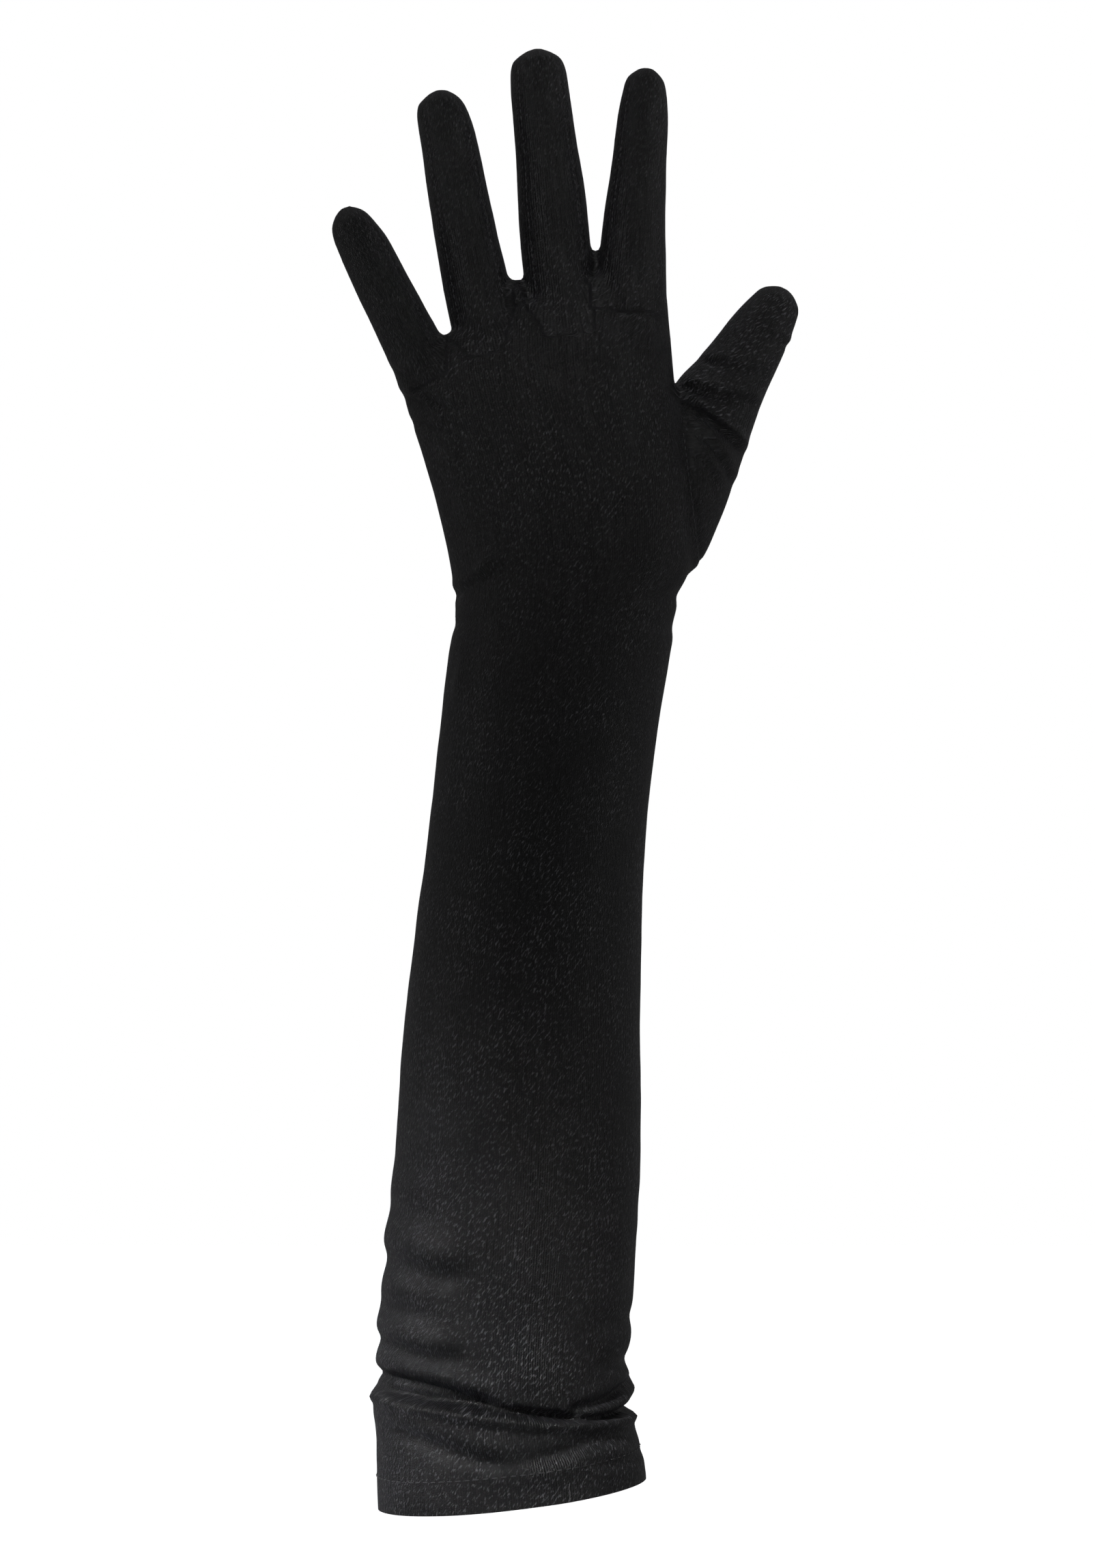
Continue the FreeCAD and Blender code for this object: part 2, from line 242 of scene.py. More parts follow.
def trunk_tube():
    """Arm and hand."""
    rings = []
    for left, right, (depth, squareness) in zip(*trunk_sections()):
        a, b = np.array((left[0], 0, left[1])), np.array((right[0], 0, right[1]))
        half = np.linalg.norm(b - a) / 2
        rings.append(section((a + b) / 2, (b - a) / (2 * half), PALM, half, depth, squareness))
    return tube(rings)


def digit_tube(digit):
    """A finger or the thumb, from its rounded tip down into the hand."""
    last = digit.widths[-1, 0]
    backs = np.concatenate([[0.1, 0.5], np.linspace(1.2, 9.0, 8), np.linspace(11, last, 40)])
    widths = spline(digit.widths[:, 0], digit.widths[:, 1:], backs)
    widths[0], widths[1] = widths[2] * 0.28, widths[2] * 0.62
    rings = []
    for back, (low, high) in zip(backs, widths):
        half = (low + high) / 2
        centre = digit.at(back) + digit.side * (high - low) / 2
        depth = half * DEPTH_RATIO
        if digit.name == "thumb":
            depth = min(depth, THUMB_DEPTH)
        rings.append(section(centre, digit.side, digit.palm, half, depth, 2.15, 48))
    return tube(rings)


def web_tube():
    """The rounded cloth between the ring and the middle finger, a fat lens that lies across the hand."""
    centre, radius, depth = WEB
    rings = []
    for y in np.linspace(-0.97, 0.97, 16):
        size = radius * math.sqrt(1 - y * y)
        rings.append(section(np.array(centre) + np.array((0, y * depth, 0)), np.array((1.0, 0, 0)),
                             np.array((0, 0, -1.0)), size, size, 2.0, 32))
    return tube(rings)


def new_mesh(name, points, faces):
    mesh = bpy.data.meshes.new(name)
    mesh.from_pydata([tuple(p) for p in points], [], faces)
    mesh.update()
    return mesh


def placed(name, data):
    """A new object in the scene."""
    obj = bpy.data.objects.new(name, data)
    bpy.context.scene.collection.objects.link(obj)
    return obj


def numbers(items, key, width=1, kind=float):
    """One property of every vertex, edge, loop or face, as an array."""
    out = np.empty(len(items) * width, dtype=kind)
    items.foreach_get(key, out)
    return out if width == 1 else out.reshape(-1, width)


def merged_form():
    """All the tubes joined and remeshed into one closed skin, in millimetres."""
    points, faces = [], []
    for part in [trunk_tube(), web_tube()] + [digit_tube(d) for d in digits.values()]:
        start = len(points)
        points += part[0]
        faces += [tuple(i + start for i in f) for f in part[1]]
    source = placed("form", new_mesh("form", points, faces))
    remesh = source.modifiers.new("merge", "REMESH")
    remesh.mode = "VOXEL"
    remesh.voxel_size = VOXEL
    graph = bpy.context.evaluated_depsgraph_get()
    mesh = bpy.data.meshes.new_from_object(source.evaluated_get(graph))
    bpy.data.objects.remove(source)
    return mesh


def relax(points, edges, rounds, amount):
    """Laplacian smoothing that puts back most of the volume it takes away."""
    degree = np.bincount(edges.ravel(), minlength=len(points))[:, None]
    for _ in range(rounds):
        for step in (amount, -amount * 1.02):
            total = np.zeros_like(points)
            for axis in range(3):
                total[:, axis] = (np.bincount(edges[:, 0], points[edges[:, 1], axis], len(points))
                                  + np.bincount(edges[:, 1], points[edges[:, 0], axis], len(points)))
            points = points + (total / degree - points) * step
    return points


def normals_of(mesh, points):
    """The vertex normals, once the vertices are moved to the points."""
    mesh.vertices.foreach_set("co", points.ravel())
    mesh.update()
    return numbers(mesh.vertex_normals, "vector", 3)


# ---------------- folds and creases
def line_field(points, line):
    """Distance to a line of (x, z) points, its sign (above is positive), and the way along it from 0 to 1."""
    xz = points[:, [0, 2]]
    line = np.array(line, float)
    lengths = np.linalg.norm(np.diff(line, axis=0), axis=1)
    starts = np.concatenate([[0], np.cumsum(lengths)])
    best = np.full(len(xz), 1e9)
    signed, along = np.zeros(len(xz)), np.zeros(len(xz))
    for n in range(len(line) - 1):
        a, b = line[n], line[n + 1]
        t = np.clip((xz - a) @ (b - a) / lengths[n] ** 2, 0, 1)
        off = xz - (a + t[:, None] * (b - a))
        distance = np.linalg.norm(off, axis=1)
        cross = (b[0] - a[0]) * (xz[:, 1] - a[1]) - (b[1] - a[1]) * (xz[:, 0] - a[0])
        near = distance < best
        best = np.where(near, distance, best)
        signed = np.where(near, np.sign(cross) * distance, signed)
        along = np.where(near, (starts[n] + t * lengths[n]) / starts[-1], along)
    return signed, along


def smooth_line(line, pieces=8):
    line = np.array(line, float)
    at = np.linspace(0, len(line) - 1, (len(line) - 1) * pieces + 1)
    return spline(np.arange(len(line)), line, at)


def fold(points, normals, facing, line, depth, width, lip, fade):
    """Groove (positive depth) or ridge (negative) along a line, with a raised lip above it.

    It is on the palm side where `facing` is 1 and on the back where it is -1, and it dies out over the
    share `fade` of its length at each end.
    """
    distance, along = line_field(points, smooth_line(line))
    ends = smoothstep(along, 0.0, fade) * smoothstep(1 - along, 0.0, fade)
    shown = smoothstep(normals[:, 1] * facing, -0.35, 0.25)
    groove = -depth * np.exp(-(distance / width) ** 2)
    raised = lip * np.exp(-((distance - 1.9 * width) / (1.5 * width)) ** 2)
    return (groove + raised) * ends * shown


# Folds on the back of the hand and sleeve: line of (x, z), depth, width, lip, fade at the ends.
BACK_FOLDS = [
    # the deep fold at the elbow, and the tucks that run into it
    ([(-46, 39.4), (-36, 39), (-18, 37.2), (-3, 35.6), (13, 33.4), (27, 31.8), (46, 32.6)],
     5, 1.2, 0, 0.12),
    ([(-46, 42.4), (-36, 42.6), (-24, 41.2), (-12, 38.6), (-2, 36.6)], 4.6, 2.3, 0.9, 0.16),
    ([(46, 43.5), (38, 40.5), (30, 36.6), (18, 34.6)], 2.6, 1.5, 1.4, 0.10),
    ([(-46, 36), (-18, 34), (13, 30.4), (46, 29)], -1.9, 1.7, 0, 0.05),
    ([(-46, 28), (-32, 26), (-18, 22), (-4, 19), (8, 19.5)], 2, 2.8, 0.9, 0.3),
    ([(46, 25), (34, 25.5), (24, 24), (12, 21), (0, 20)], 1.7, 2.4, 0.9, 0.3),
    ([(46, 19.5), (34, 17.5), (22, 18)], 0.8, 1.6, 0.6, 0.35),
    # slack waves on the little-finger side of the forearm
    ([(-48, 54), (-36, 53), (-24, 50.5), (-10, 51.5)], 2, 2.6, 1.3, 0.3),
    ([(-48, 78), (-36, 78.5), (-22, 76), (-8, 78)], 2.2, 3.6, 1.5, 0.35),
    ([(-46, 66), (-34, 65), (-20, 63)], 1.2, 3, 0.9, 0.4),
    ([(-44, 96), (-30, 94.5), (-16, 96)], 0.9, 3.6, 0.7, 0.4),
    ([(46, 62), (34, 60), (22, 62)], 1.1, 3.2, 0.7, 0.4),
    ([(46, 50), (36, 47), (24, 48)], 1.1, 2.2, 0.8, 0.35),
    ([(44, 98), (34, 96), (20, 99)], 0.6, 3.6, 0.4, 0.4),
    ([(-40, 112), (-30, 110), (-16, 112)], 0.7, 4, 0.5, 0.4),
    # wrist
    ([(-24, 284), (-16, 288), (-8, 292.5), (-1, 299)], 0.9, 1.6, 0.9, 0.25),
    ([(-24, 276), (-14, 279), (-4, 279)], 0.7, 2, 0.7, 0.3),
    ([(-14, 272), (-15.5, 263), (-17.5, 252)], -0.8, 1.6, 0, 0.4),
    ([(58, 291), (48, 286), (38, 285)], 0.7, 1.8, 0.6, 0.3),
    ([(58, 279), (48, 277), (40, 279)], 0.4, 2, 0.4, 0.3),
    # root of the little finger
    ([(-40, 361), (-32, 355), (-24, 348), (-16, 344)], 1.1, 1.2, 0.9, 0.25),
    ([(-38, 353), (-30, 348), (-22, 343)], 1, 1.2, 0.8, 0.3),
    ([(-34, 344), (-26, 340), (-19, 337)], 0.8, 1.3, 0.6, 0.3),
    # curved seams under the spaces between the fingers
    ([(-27, 368.6), (-25.6, 366.8), (-23, 366.2), (-20.8, 367.6), (-19.6, 370)], 0.55, 0.75, 0.45, 0.12),
    ([(-2.7, 387.4), (-1.2, 385.2), (1, 384.2), (3.6, 385.2), (5.3, 387.8)], 0.55, 0.75, 0.45, 0.12),
    ([(20.3, 392.9), (22, 390.8), (24.6, 389.9), (27, 390.9), (28.6, 393.4)], 0.55, 0.75, 0.45, 0.12),
    # thumb
    ([(53, 353.5), (60, 351.5), (70, 349.5), (80, 348)], 1.4, 1.4, 1, 0.15),
    ([(55, 347.5), (62, 342.5), (69, 337), (74, 331)], 1.3, 1.4, 0.9, 0.2),
    ([(57, 342), (63, 335), (68, 327), (71, 320)], 0.7, 1.3, 0.5, 0.25),
    ([(58, 362.5), (66, 360.5), (76, 358.5), (84, 358.5)], 0.9, 1.3, 0.5, 0.25),
    ([(78, 372), (84, 368.5), (92, 366)], 0.5, 1.1, 0.5, 0.3),
    ([(56, 334), (62, 328), (66, 320)], 0.4, 1.4, 0.3, 0.3),
]
# The same for the palm side, where the hand, wrist and elbow close.
PALM_FOLDS = [
    ([(-46, 44), (-20, 40), (0, 43), (20, 38), (46, 31)], 4, 2.4, 2.2, 0.13),
    ([(-46, 56), (-20, 50), (8, 53), (30, 47)], 2, 2.6, 1.4, 0.25),
    ([(44, 62), (20, 58), (-6, 64)], 1.4, 2.8, 1, 0.3),
    ([(-44, 28), (-16, 26), (10, 29), (40, 22)], 1.3, 2.8, 0.8, 0.25),
    ([(-24, 284), (0, 280), (26, 281.5), (56, 288)], 1.3, 1.7, 1.1, 0.15),
    ([(-22, 292), (6, 289.5), (34, 290)], 0.8, 1.6, 0.7, 0.25),
    ([(-22, 272), (8, 271), (46, 275)], 0.7, 1.9, 0.6, 0.25),
    ([(40, 298), (28, 312), (26, 330), (36, 348), (50, 356)], 1.2, 2, 0.9, 0.2),
    ([(-30, 344), (-8, 352), (16, 356), (34, 366)], 0.9, 1.7, 0.7, 0.2),
    ([(54, 352), (44, 342), (20, 338), (-6, 330)], 0.7, 1.8, 0.5, 0.3),
]


def finger_folds(points):
    """Small tucks round the inside of each finger joint, and grooves along the fourchettes' seams."""
    shift = np.zeros(len(points))
    for name in FINGERS:
        digit = digits[name]
        back, side, palm = digit.local(points)
        radius = np.hypot(side, palm)
        inside = (back < digit.root - 6) & (radius < 1.5 * digit.half_width(back))
        turn = np.arctan2(palm, side)
        for joint, depth in ((digit.mid, 0.55), (digit.end, 0.4)):
            for offset in (-2.4, 0.3, 3.1):
                ring = np.exp(-((back - joint - offset - 0.6 * np.sin(turn * 2)) / 0.9) ** 2)
                shift += np.where(inside, -depth * ring * smoothstep(palm, -1.0, 5.0), 0)
            knuckle = np.exp(-((back - joint) / 5.5) ** 2) * smoothstep(-palm, 2.0, 8.0)
            shift += np.where(inside, 0.25 * knuckle, 0)
        for sign in seam_sides(name):
            for edge in (-1, 1):
                seam = edge * math.radians(FOURCHETTE_ANGLE)
                if sign < 0:
                    seam = math.pi - seam
                away = np.abs((turn - seam + math.pi) % (2 * math.pi) - math.pi) * radius
                groove = -0.28 * np.exp(-(away / 0.55) ** 2)
                raised = 0.10 * np.exp(-((away - 1.5) / 0.8) ** 2)
                shift += np.where(inside, (groove + raised) * smoothstep(back, 3.0, 8.0), 0)
    return shift


def seam_sides(name):
    """The sides of a finger that carry a fourchette: -1 little-finger side, +1 thumb side."""
    order = FINGERS.index(name)
    return [s for s, here in ((-1, order > 0), (1, order < len(FINGERS) - 1)) if here]


def slack(points):
    """Uneven pull of the cloth on the arm, as soft long undulations."""
    out = np.empty(len(points))
    for n, (x, y, z) in enumerate(points):
        wide = noise.noise(Vector((x / 26, y / 26, z / 15)))
        fine = noise.noise(Vector((x / 11 + 7, y / 11, z / 6.5)))
        out[n] = 0.30 * wide + 0.10 * fine
    lower = smoothstep(150 - points[:, 2], 0.0, 120.0)
    return out * (0.55 + 1.5 * lower)


def thumb_seam(points):
    """Groove where the thumb is set into the hand."""
    off = (points - np.array(THUMB_SEAM_AT)) @ THUMB_SEAM_OUT
    where = smoothstep(points[:, 2], 292.0, 298.0) * smoothstep(356.0 - points[:, 2], 0.0, 6.0)
    right = smoothstep(points[:, 0], 46.0, 50.0)
    groove = -0.35 * np.exp(-(off / 0.6) ** 2)
    raised = 0.18 * np.exp(-((off + 1.7) / 0.9) ** 2)
    return (groove + raised) * where * right


def creased(mesh):
    """The skin smoothed, and moved in and out by its folds and seams."""
    edges = numbers(mesh.edges, "vertices", 2, np.int64)
    points = relax(numbers(mesh.vertices, "co", 3), edges, 8, 0.6)
    points = relax(points, edges, 3, 0.5)
    normals = normals_of(mesh, points)
    shift = finger_folds(points) + slack(points) + thumb_seam(points)
    for facing, folds in ((-1, BACK_FOLDS), (1, PALM_FOLDS)):
        for shape in folds:
            shift += fold(points, normals, facing, *shape)
    points = points + normals * shift[:, None]
    points = relax(points, edges, 1, 0.4)
    mesh.vertices.foreach_set("co", points.ravel())
    mesh.update()
    return mesh


# ---------------- cutting the skin into its pieces
def cut(bm, at, normal, region=None, clear_below=False):
    """Cuts the skin with a plane, through the faces whose centre `region` accepts."""
    faces = bm.faces[:] if region is None else [f for f in bm.faces if region(f.calc_center_median())]
    geometry = list({v for f in faces for v in f.verts}) + list({e for f in faces for e in f.edges}) + faces
    bmesh.ops.bisect_plane(bm, geom=geometry, plane_co=Vector(at), plane_no=Vector(normal), dist=1e-4,
                           clear_inner=clear_below)


def near_digit(digit, reach):
    """Test for faces that belong to a digit's tube, up to `reach` back from the tip."""
    tip, up, side, palm = (Vector(v) for v in (digit.tip, digit.up, digit.side, digit.palm))
    limit = 1.35 * float(digit.half_width(reach)[0])

    def test(centre):
        d = centre - tip
        return -d.dot(up) < reach and abs(d.dot(side)) < limit and abs(d.dot(palm)) < limit * 1.3
    return test


def base_back(digit):
    """Distance back from the tip where the base cloth meets that of the middle joint."""
    return digit.mid + BEND_REACH["mid"] + 1.0


def middle_back(digit):
    """Distance back from the tip where the cloth of the middle joint meets that of the end joint."""
    return (digit.mid - BEND_REACH["mid"] + digit.end + BEND_REACH["tip"]) / 2


def tip_back(thumb):
    """Distance back from the thumb's tip where its two pieces meet."""
    return thumb.end + BEND_REACH["tip"] + 3.0


def cut_skin(mesh):
    """The skin cut open at the hem, and cut along every line where two pieces meet."""
    knuckle_low, knuckle_high = KNUCKLE_CUT_HEIGHTS
    thumb_low, thumb_high = THUMB_CUT_HEIGHTS
    bm = bmesh.new()
    bm.from_mesh(mesh)
    cut(bm, HEM_AT, HEM_UP, clear_below=True)
    cut(bm, np.array(HEM_AT) + HEM_UP * HEM_DEPTH, HEM_UP, lambda c: c.z < 40)
    cut(bm, np.array(KNUCKLE_AT) - KNUCKLE_UP * HAND_SPLIT, KNUCKLE_UP,
        lambda c: knuckle_low < c.z < knuckle_high and c.x < 55)
    cut(bm, THUMB_SEAM_AT, THUMB_SEAM_OUT, lambda c: thumb_low < c.z < thumb_high and c.x > 45)
    for name in FINGERS:
        digit = digits[name]
        test = near_digit(digit, digit.root - 4)
        cut(bm, digit.at(base_back(digit)), digit.up, test)
        cut(bm, digit.at(middle_back(digit)), digit.up, test)
        for sign in seam_sides(name):
            for edge in (-1, 1):
                angle = math.radians(FOURCHETTE_ANGLE)
                normal = digit.side * (math.sin(angle) * edge * sign) - digit.palm * math.cos(angle)
                cut(bm, digit.tip, normal, side_test(digit, sign, test))
    thumb = digits["thumb"]
    cut(bm, thumb.at(tip_back(thumb)), thumb.up, near_digit(thumb, 60))
    bm.to_mesh(mesh)
    bm.free()
    mesh.update()
    return mesh


def side_test(digit, sign, test):
    """The same test, kept to one side of the digit."""
    tip, side = Vector(digit.tip), Vector(digit.side)
    return lambda c: test(c) and (c - tip).dot(side) * sign > 1.0


def web_name(name, sign):
    """The fourchette between a finger and its neighbour on that side."""
    low = FINGERS.index(name) - (0 if sign > 0 else 1)
    return f"{FINGERS[low + 1]}_{FINGERS[low]}_fourchette"


def piece_names(centres):
    """The name of the cloth piece that each face belongs to."""
    names = np.full(len(centres), "sleeve_and_hand", dtype=object)
    above = (centres - np.array(KNUCKLE_AT)) @ KNUCKLE_UP > -HAND_SPLIT
    names[above] = "knuckle_trank"
    names[above & (centres[:, 0] > INDEX_EDGE)] = "thumb_base"
    thumb = digits["thumb"]
    out = (centres - np.array(THUMB_SEAM_AT)) @ THUMB_SEAM_OUT > 0
    back, side, palm = thumb.local(centres)
    on_thumb = out & (back < 105) & (centres[:, 2] > 288) & (np.hypot(side, palm) < 40)
    on_thumb &= ~((centres[:, 2] > THUMB_TOP) & (centres[:, 0] < THUMB_CLEAR))
    names[on_thumb] = "thumb_base"
    names[on_thumb & (back < tip_back(thumb))] = "thumb_tip"
    slope = math.tan(math.radians(FOURCHETTE_ANGLE))
    from_axis = [np.hypot(*digits[name].local(centres)[1:]) for name in FINGERS]
    nearest = np.array(FINGERS)[np.argmin(from_axis, axis=0)]
    for name in FINGERS:
        digit = digits[name]
        back, side, palm = digit.local(centres)
        reach = 1.45 * digit.half_width(np.clip(back, 0, digit.root))
        mine = (back < digit.root - 4) & (np.abs(side) < reach) & (np.abs(palm) < reach * 1.3)
        mine &= (centres[:, 2] > 330) & ~on_thumb
        zone = np.where(back < middle_back(digit), "tip", np.where(back < base_back(digit), "mid", "base"))
        strip = np.zeros(len(centres), bool)
        for sign in seam_sides(name):
            here = (side * sign > 0) & (np.abs(palm) < np.abs(side) * slope)
            names[mine & here & (zone == "base")] = web_name(name, sign)
            strip |= here
        mine &= nearest == name
        for part in ("tip", "mid"):
            names[mine & (zone == part)] = f"{name}_{part}_trank"
            names[mine & (zone == part) & strip] = f"{name}_{part}_fourchette"
    return names


# ---------------- cloth coordinates
def cloth_coordinates(points):
    """Turns round the limb (0 to 1), wales round it, and length along it in millimetres, for each point."""
    left, right, rest = trunk_sections()
    height = (left[:, 1] + right[:, 1]) / 2
    centre = np.interp(points[:, 2], height, (left[:, 0] + right[:, 0]) / 2)
    half = np.interp(points[:, 2], height, (right[:, 0] - left[:, 0]) / 2)
    depth = np.interp(points[:, 2], height, rest[:, 0])
    turn = np.arctan2(points[:, 1] / depth, (points[:, 0] - centre) / half) / (2 * math.pi)
    wales = np.full(len(points), ARM_WALES)
    along = points[:, 2].copy()
    for name, digit in digits.items():
        back, side, palm = digit.local(points)
        reach = 1.35 * digit.half_width(np.clip(back, 0, digit.root))
        limit = THUMB_PATTERN_REACH if name == "thumb" else digit.root
        mine = (back < limit) & (np.hypot(side, palm) < reach)
        turn = np.where(mine, np.arctan2(palm, side) / (2 * math.pi), turn)
        wales = np.where(mine, DIGIT_WALES, wales)
        along = np.where(mine, (THUMB_ALONG if name == "thumb" else FINGER_ALONG) - back, along)
    return turn, wales, along


def write_uv(mesh, points):
    """UVs in wales across and in millimetres along, unwrapped face by face."""
    turn, wales, along = cloth_coordinates(points)
    loop_vertices = numbers(mesh.loops, "vertex_index", kind=np.int64)
    starts = numbers(mesh.polygons, "loop_start", kind=np.int64)
    totals = numbers(mesh.polygons, "loop_total", kind=np.int64)
    first = np.repeat(loop_vertices[starts], totals)
    t = turn[loop_vertices]
    t = t - np.round(t - turn[first])
    layer = mesh.uv_layers.new(name="cloth")
    uv = np.stack([t * wales[first], along[loop_vertices]], axis=1)
    layer.data.foreach_set("uv", uv.ravel())


# ---------------- pieces as closed thin shells
def faces_of(mesh, points):
    """Each face's vertices, and its centre."""
    faces = [tuple(p.vertices) for p in mesh.polygons]
    return faces, np.array([points[list(f)].mean(axis=0) for f in faces])


def shells(mesh):
    """Cuts the skin's faces into named pieces, each with an inside face and a rim."""
    points = numbers(mesh.vertices, "co", 3)
    normals = normals_of(mesh, points)
    faces, centres = faces_of(mesh, points)
    names = piece_names(centres)
    made = {}
    for name in sorted(set(names)):
        chosen = [faces[i] for i in np.flatnonzero(names == name)]
        made[name] = shell_of(name + "_cloth", points, normals, chosen)
    return made


def hem_turnup(mesh):
    """The cloth folded up inside the opening, against the sleeve."""
    points = numbers(mesh.vertices, "co", 3)
    normals = normals_of(mesh, points)
    faces, centres = faces_of(mesh, points)
    low = (centres - np.array(HEM_AT)) @ HEM_UP < HEM_DEPTH
    inside = points - normals * (CLOTH + 0.02)
    return shell_of("hem_turnup_cloth", inside, normals, [faces[i] for i in np.flatnonzero(low)])


def shell_of(name, points, normals, chosen):
    """The chosen faces as a closed shell, one thickness of cloth deep."""
    used = sorted({v for f in chosen for v in f})
    index = {v: n for n, v in enumerate(used)}
    count = len(used)
    outer = [tuple(index[v] for v in f) for f in chosen]
    inner = [tuple(v + count for v in reversed(f)) for f in outer]
    directed = {edge: True for f in outer for edge in zip(f, f[1:] + f[:1])}
    rim = [(b, a, a + count, b + count) for a, b in directed if (b, a) not in directed]
    outside = points[used] * MM
    inside = (points[used] - normals[used] * CLOTH) * MM
    mesh = new_mesh(name, np.concatenate([outside, inside]), outer + inner + rim)
    mesh.polygons.foreach_set("use_smooth", [True] * len(mesh.polygons))
    both = np.concatenate([normals[used], -normals[used]])
    write_uv(mesh, np.concatenate([points[used], points[used]]))
    mesh.normals_split_custom_set_from_vertices([tuple(n) for n in both])
    return placed(name, mesh)


# ---------------- sewing
class Surface:
    """Ray casts against the finished skin, in millimetres."""

    def __init__(self, mesh):
        points = [v.co for v in mesh.vertices]
        self.tree = BVHTree.FromPolygons(points, [p.vertices for p in mesh.polygons])

    def outward(self, start, way):
        """Where a ray from inside the glove leaves the skin, and the skin's normal there."""
        hit, normal, _, _ = self.tree.ray_cast(Vector(start), Vector(way))
        if hit is None:
            return None
        normal = np.array(normal)
        return np.array(hit), normal * (1 if normal @ np.array(way) > 0 else -1)


def capsule(at, along, out, length, thick):
    """Closed stitch: a six-sided thread that dips at both ends."""
    along = along / np.linalg.norm(along)
    out = out - along * (out @ along)
    out = out / np.linalg.norm(out)
    side = np.cross(along, out)
    points, faces = [], []
    profile = [(-0.5, 0.25, -0.5), (-0.36, 0.8, 0.0), (0.0, 1.0, 0.25), (0.36, 0.8, 0.0), (0.5, 0.25, -0.5)]
    for t, size, lift in profile:
        for n in range(6):
            turn = math.pi * n / 3
            points.append(at + along * (t * length) + out * (lift * thick * 0.5)
                          + (out * math.cos(turn) + side * math.sin(turn)) * size * thick / 2)
    for ring in range(len(profile) - 1):
        for n in range(6):
            m = (n + 1) % 6
            faces.append((ring * 6 + n, ring * 6 + m, ring * 6 + 6 + m, ring * 6 + 6 + n))
    faces.append(tuple(range(5, -1, -1)))
    faces.append(tuple(range(len(points) - 6, len(points))))
    return points, faces


def joined_object(name, parts):
    """One object from several closed forms, given as (points, faces) in millimetres."""
    points, faces = [], []
    for more, these in parts:
        start = len(points)
        points += [np.asarray(p) * MM for p in more]
        faces += [tuple(i + start for i in f) for f in these]
    mesh = new_mesh(name, points, faces)
    mesh.polygons.foreach_set("use_smooth", [True] * len(mesh.polygons))
    return placed(name, mesh)


def stitches_along(path, pitch=2.1, length=1.35, thick=0.30, sink=0.05):
    """Stitches along a path of (point, normal) on the skin."""
    points = np.array([p for p, _ in path])
    normals = np.array([n for _, n in path])
    run = np.concatenate([[0], np.cumsum(np.linalg.norm(np.diff(points, axis=0), axis=1))])
    made = []
    for at in np.arange(pitch / 2, run[-1] - length / 2, pitch):
        where = [np.interp([at - 0.4, at, at + 0.4], run, points[:, c]) for c in range(3)]
        where = np.array(where).T
        normal = np.array([np.interp(at, run, normals[:, c]) for c in range(3)])
        normal /= np.linalg.norm(normal)
        middle = where[1] + normal * (thick / 2 - sink)
        made.append(capsule(middle, where[2] - where[0], normal, length, thick))
    return made


def finger_seam(surface, digit, sign, edge, low, high):
    """Path of the seam between a finger's trank and its fourchette."""
    angle = math.radians(FOURCHETTE_ANGLE)
    way = digit.side * (math.cos(angle) * sign) + digit.palm * (math.sin(angle) * edge)
    path = []
    for back in np.linspace(high, low, 2 + int((high - low) / 1.5)):
        hit = surface.outward(digit.at(back), way)
        reach = 1.1 * float(digit.half_width(back)[0])
        if hit is not None and np.linalg.norm(hit[0] - digit.at(back)) < reach:
            path.append(hit)
    return path


def finger_stitches(surface):
    """The seam stitches of each finger, by the zone of cloth that they are sewn to."""
    made = {"knuckle_stitches": []}
    for name in FINGERS:
        digit = digits[name]
        zones = ((f"{name}_tip_stitches", 6.0, middle_back(digit)),
                 (f"{name}_mid_stitches", middle_back(digit), base_back(digit)),
                 ("knuckle_stitches", base_back(digit), digit.root - 12))
        for zone, low, high in zones:
            for sign in seam_sides(name):
                for edge in (-1, 1):
                    path = finger_seam(surface, digit, sign, edge, low + 0.8, high - 0.8)
                    if len(path) > 2:
                        made.setdefault(zone, []).extend(stitches_along(path))
    return made


def ring_path(surface, centre, up, count=160):
    """Path round the sleeve in the plane through `centre` square to `up`."""
    across = np.array((up[2], 0, -up[0]))
    path = []
    for n in range(count + 1):
        turn = 2 * math.pi * n / count
        hit = surface.outward(centre, across * math.cos(turn) + PALM * math.sin(turn))
        if hit is not None:
            path.append(hit)
    return path


def thumb_seam_path(surface):
    """Path of the seam that sets the thumb into the back of the hand."""
    path = []
    for z in np.arange(296.0, 341.0, 1.0):
        x = THUMB_SEAM_AT[0] - (z - THUMB_SEAM_AT[2]) * THUMB_SEAM_OUT[2] / THUMB_SEAM_OUT[0]
        hit = surface.outward((x - 0.9, 2.0, z), (0, -1.0, 0))
        if hit is not None:
            path.append(hit)
    return path


def ribbon(rows, thick):
    """Closed strip through rows of (point, normal), laid against the skin's inside."""
    width = len(rows[0])
    outer = [p - n * (CLOTH + 0.04) for row in rows for p, n in row]
    inner = [p - n * (CLOTH + 0.04 + thick) for row in rows for p, n in row]
    count, faces = len(outer), []

    def at(r, c):
        return r * width + c

    for r in range(len(rows) - 1):
        for c in range(width - 1):
            quad = (at(r, c), at(r, c + 1), at(r + 1, c + 1), at(r + 1, c))
            faces.append(quad)
            faces.append(tuple(i + count for i in reversed(quad)))
    border = ([at(0, c) for c in range(width)] + [at(r, width - 1) for r in range(1, len(rows))]
              + [at(len(rows) - 1, c) for c in range(width - 2, -1, -1)]
              + [at(r, 0) for r in range(len(rows) - 2, 0, -1)])
    for a, b in zip(border, border[1:] + border[:1]):
        faces.append((b, a, a + count, b + count))
    return outer + inner, faces


